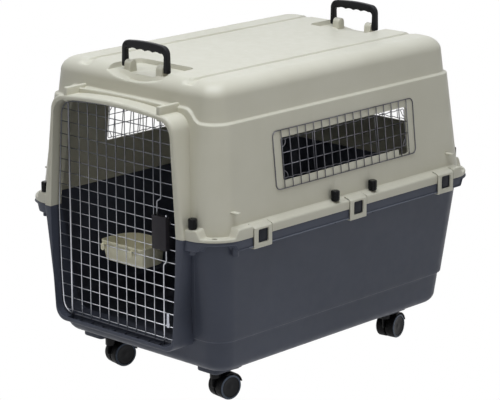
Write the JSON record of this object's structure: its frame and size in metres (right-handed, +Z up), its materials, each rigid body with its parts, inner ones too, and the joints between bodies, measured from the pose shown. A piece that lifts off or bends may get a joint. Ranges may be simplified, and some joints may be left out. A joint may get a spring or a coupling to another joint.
{
  "type": "wheeled pet travel crate",
  "caption": "Two-tone plastic travel crate for a large dog, with a wire door, wire windows, a feeding bowl, fold-down lifting handles and swivel casters.",
  "frame": {"origin": "On the floor, under the centre of the overall bounding box.", "axes": "+X the crate's right side seen from the front, +Y towards the rear (the door faces -Y), +Z up."},
  "size_m": [0.7172, 1.049, 0.9105],
  "materials": {
    "upper_plastic": "satin beige",
    "lower_plastic": "satin dark grey",
    "black_plastic": "satin black",
    "wire": "plated",
    "bowl_plastic": "satin tan",
    "wheel_rubber": "satin black"
  },
  "bodies": {
    "crate": {"upper_shell": "upper_plastic", "lower_shell": "lower_plastic", "window_grille_right": "wire", "window_retainer_right": "wire", "window_grille_left": "wire", "window_retainer_left": "wire", "window_grille_rear": "wire", "window_retainer_rear": "wire", "front_handle_pin_right": "wire", "front_handle_pin_left": "wire", "rear_handle_pin_right": "wire", "rear_handle_pin_left": "wire"},
    "door": {"door_grid": "wire", "hinge_rod": "wire", "latch_housing": "black_plastic", "door_keeper_clip": "wire", "latch_spring": "wire"},
    "upper_latch": {"latch_slide_upper": "black_plastic", "latch_rod_upper": "wire"},
    "lower_latch": {"latch_slide_lower": "black_plastic", "latch_rod_lower": "wire"},
    "bowl": {"feeding_bowl": "bowl_plastic"},
    "front_carrying_handle": {"front_handle": "black_plastic"},
    "rear_carrying_handle": {"rear_handle": "black_plastic"},
    "caster_front_right_swivel": {"caster_front_right_hood": "black_plastic", "caster_front_right_axle": "wire"},
    "caster_front_right_wheel_right": {"caster_front_right_wheel_right": "wheel_rubber"},
    "caster_front_right_wheel_left": {"caster_front_right_wheel_left": "wheel_rubber"},
    "caster_front_right_brake": {"caster_front_right_brake": "black_plastic"},
    "caster_front_left_swivel": {"caster_front_left_hood": "black_plastic", "caster_front_left_axle": "wire"},
    "caster_front_left_wheel_right": {"caster_front_left_wheel_right": "wheel_rubber"},
    "caster_front_left_wheel_left": {"caster_front_left_wheel_left": "wheel_rubber"},
    "caster_front_left_brake": {"caster_front_left_brake": "black_plastic"},
    "caster_rear_right_swivel": {"caster_rear_right_hood": "black_plastic", "caster_rear_right_axle": "wire"},
    "caster_rear_right_wheel_right": {"caster_rear_right_wheel_right": "wheel_rubber"},
    "caster_rear_right_wheel_left": {"caster_rear_right_wheel_left": "wheel_rubber"},
    "caster_rear_left_swivel": {"caster_rear_left_hood": "black_plastic", "caster_rear_left_axle": "wire"},
    "caster_rear_left_wheel_right": {"caster_rear_left_wheel_right": "wheel_rubber"},
    "caster_rear_left_wheel_left": {"caster_rear_left_wheel_left": "wheel_rubber"},
    "side_clip_right_front": {"side_clip_right_front": "upper_plastic"},
    "side_clip_right_middle": {"side_clip_right_middle": "upper_plastic"},
    "side_clip_right_rear": {"side_clip_right_rear": "upper_plastic"},
    "side_clip_left_front": {"side_clip_left_front": "upper_plastic"},
    "side_clip_left_middle": {"side_clip_left_middle": "upper_plastic"},
    "side_clip_left_rear": {"side_clip_left_rear": "upper_plastic"},
    "clamp_knob_front_right": {"clamp_knob_front_right": "black_plastic"},
    "clamp_knob_right_front": {"clamp_knob_right_front": "black_plastic"},
    "clamp_knob_rear_right": {"clamp_knob_rear_right": "black_plastic"},
    "clamp_knob_right_rear": {"clamp_knob_right_rear": "black_plastic"},
    "clamp_knob_front_left": {"clamp_knob_front_left": "black_plastic"},
    "clamp_knob_left_front": {"clamp_knob_left_front": "black_plastic"},
    "clamp_knob_rear_left": {"clamp_knob_rear_left": "black_plastic"},
    "clamp_knob_left_rear": {"clamp_knob_left_rear": "black_plastic"}
  },
  "joints": [
    {"name": "door_hinge", "type": "hinge", "parent": "crate", "child": "door", "pos_m": [-0.17, -0.50645, 0.46], "axis": [0, 0, -1], "range_deg": [0, 110]},
    {"name": "upper_latch_slide", "type": "slide", "parent": "door", "child": "upper_latch", "axis": [0, 0, -1], "range_m": [-0.006, 0.012], "stiffness_N_per_m": 600, "deforming": ["latch_spring"]},
    {"name": "lower_latch_slide", "type": "slide", "parent": "door", "child": "lower_latch", "axis": [0, 0, 1], "range_m": [-0.006, 0.012], "stiffness_N_per_m": 600},
    {"name": "bowl_lift", "type": "slide", "parent": "door", "child": "bowl", "axis": [0, 0, 1], "range_m": [0, 0.02]},
    {"name": "front_handle_hinge", "type": "hinge", "parent": "crate", "child": "front_carrying_handle", "pos_m": [0, -0.39605, 0.8465], "axis": [-1, 0, 0], "range_deg": [0, 88]},
    {"name": "rear_handle_hinge", "type": "hinge", "parent": "crate", "child": "rear_carrying_handle", "pos_m": [0, 0.40395, 0.8465], "axis": [1, 0, 0], "range_deg": [0, 88]},
    {"name": "caster_front_right_swivel", "type": "hinge", "parent": "crate", "child": "caster_front_right_swivel", "pos_m": [0.193, -0.35105, 0.09], "axis": [0, 0, 1], "continuous": true},
    {"name": "caster_front_right_wheel_right_spin", "type": "hinge", "parent": "caster_front_right_swivel", "child": "caster_front_right_wheel_right", "pos_m": [0.19717, -0.32134, 0.0335], "axis": [0.9903, -0.1392, 0], "continuous": true},
    {"name": "caster_front_right_wheel_left_spin", "type": "hinge", "parent": "caster_front_right_swivel", "child": "caster_front_right_wheel_left", "pos_m": [0.19717, -0.32134, 0.0335], "axis": [0.9903, -0.1392, 0], "continuous": true},
    {"name": "caster_front_right_brake_pedal", "type": "hinge", "parent": "caster_front_right_swivel", "child": "caster_front_right_brake", "pos_m": [0.19662, -0.3253, 0.0745], "axis": [-0.9903, 0.1392, 0], "range_deg": [0, 12]},
    {"name": "caster_front_left_swivel", "type": "hinge", "parent": "crate", "child": "caster_front_left_swivel", "pos_m": [-0.193, -0.35105, 0.09], "axis": [0, 0, 1], "continuous": true},
    {"name": "caster_front_left_wheel_right_spin", "type": "hinge", "parent": "caster_front_left_swivel", "child": "caster_front_left_wheel_right", "pos_m": [-0.18676, -0.32171, 0.0335], "axis": [0.9781, -0.2079, 0], "continuous": true},
    {"name": "caster_front_left_wheel_left_spin", "type": "hinge", "parent": "caster_front_left_swivel", "child": "caster_front_left_wheel_left", "pos_m": [-0.18676, -0.32171, 0.0335], "axis": [0.9781, -0.2079, 0], "continuous": true},
    {"name": "caster_front_left_brake_pedal", "type": "hinge", "parent": "caster_front_left_swivel", "child": "caster_front_left_brake", "pos_m": [-0.18759, -0.32562, 0.0745], "axis": [-0.9781, 0.2079, 0], "range_deg": [0, 12]},
    {"name": "caster_rear_right_swivel", "type": "hinge", "parent": "crate", "child": "caster_rear_right_swivel", "pos_m": [0.193, 0.32395, 0.09], "axis": [0, 0, 1], "continuous": true},
    {"name": "caster_rear_right_wheel_right_spin", "type": "hinge", "parent": "caster_rear_right_swivel", "child": "caster_rear_right_wheel_right", "pos_m": [0.18779, 0.35349, 0.0335], "axis": [0.9848, 0.1736, 0], "continuous": true},
    {"name": "caster_rear_right_wheel_left_spin", "type": "hinge", "parent": "caster_rear_right_swivel", "child": "caster_rear_right_wheel_left", "pos_m": [0.18779, 0.35349, 0.0335], "axis": [0.9848, 0.1736, 0], "continuous": true},
    {"name": "caster_rear_left_swivel", "type": "hinge", "parent": "crate", "child": "caster_rear_left_swivel", "pos_m": [-0.193, 0.32395, 0.09], "axis": [0, 0, 1], "continuous": true},
    {"name": "caster_rear_left_wheel_right_spin", "type": "hinge", "parent": "caster_rear_left_swivel", "child": "caster_rear_left_wheel_right", "pos_m": [-0.19091, 0.35388, 0.0335], "axis": [0.9976, -0.0698, 0], "continuous": true},
    {"name": "caster_rear_left_wheel_left_spin", "type": "hinge", "parent": "caster_rear_left_swivel", "child": "caster_rear_left_wheel_left", "pos_m": [-0.19091, 0.35388, 0.0335], "axis": [0.9976, -0.0698, 0], "continuous": true},
    {"name": "side_clip_right_front_pull", "type": "slide", "parent": "crate", "child": "side_clip_right_front", "axis": [1, 0, 0], "range_m": [0, 0.03]},
    {"name": "side_clip_right_middle_pull", "type": "slide", "parent": "crate", "child": "side_clip_right_middle", "axis": [1, 0, 0], "range_m": [0, 0.03]},
    {"name": "side_clip_right_rear_pull", "type": "slide", "parent": "crate", "child": "side_clip_right_rear", "axis": [1, 0, 0], "range_m": [0, 0.03]},
    {"name": "side_clip_left_front_pull", "type": "slide", "parent": "crate", "child": "side_clip_left_front", "axis": [-1, 0, 0], "range_m": [0, 0.03]},
    {"name": "side_clip_left_middle_pull", "type": "slide", "parent": "crate", "child": "side_clip_left_middle", "axis": [-1, 0, 0], "range_m": [0, 0.03]},
    {"name": "side_clip_left_rear_pull", "type": "slide", "parent": "crate", "child": "side_clip_left_rear", "axis": [-1, 0, 0], "range_m": [0, 0.03]},
    {"name": "clamp_knob_front_right_turn", "type": "hinge", "parent": "crate", "child": "clamp_knob_front_right", "pos_m": [0.266, -0.5043, 0.5], "axis": [0, 0, 1], "continuous": true},
    {"name": "clamp_knob_right_front_turn", "type": "hinge", "parent": "crate", "child": "clamp_knob_right_front", "pos_m": [0.34225, -0.06355, 0.5], "axis": [0, 0, 1], "continuous": true},
    {"name": "clamp_knob_rear_right_turn", "type": "hinge", "parent": "crate", "child": "clamp_knob_rear_right", "pos_m": [0.266, 0.5122, 0.5], "axis": [0, 0, 1], "continuous": true},
    {"name": "clamp_knob_right_rear_turn", "type": "hinge", "parent": "crate", "child": "clamp_knob_right_rear", "pos_m": [0.34225, 0.08345, 0.5], "axis": [0, 0, 1], "continuous": true},
    {"name": "clamp_knob_front_left_turn", "type": "hinge", "parent": "crate", "child": "clamp_knob_front_left", "pos_m": [-0.266, -0.5043, 0.5], "axis": [0, 0, 1], "continuous": true},
    {"name": "clamp_knob_left_front_turn", "type": "hinge", "parent": "crate", "child": "clamp_knob_left_front", "pos_m": [-0.34225, -0.06355, 0.5], "axis": [0, 0, 1], "continuous": true},
    {"name": "clamp_knob_rear_left_turn", "type": "hinge", "parent": "crate", "child": "clamp_knob_rear_left", "pos_m": [-0.266, 0.5122, 0.5], "axis": [0, 0, 1], "continuous": true},
    {"name": "clamp_knob_left_rear_turn", "type": "hinge", "parent": "crate", "child": "clamp_knob_left_rear", "pos_m": [-0.34225, 0.08345, 0.5], "axis": [0, 0, 1], "continuous": true}
  ]
}
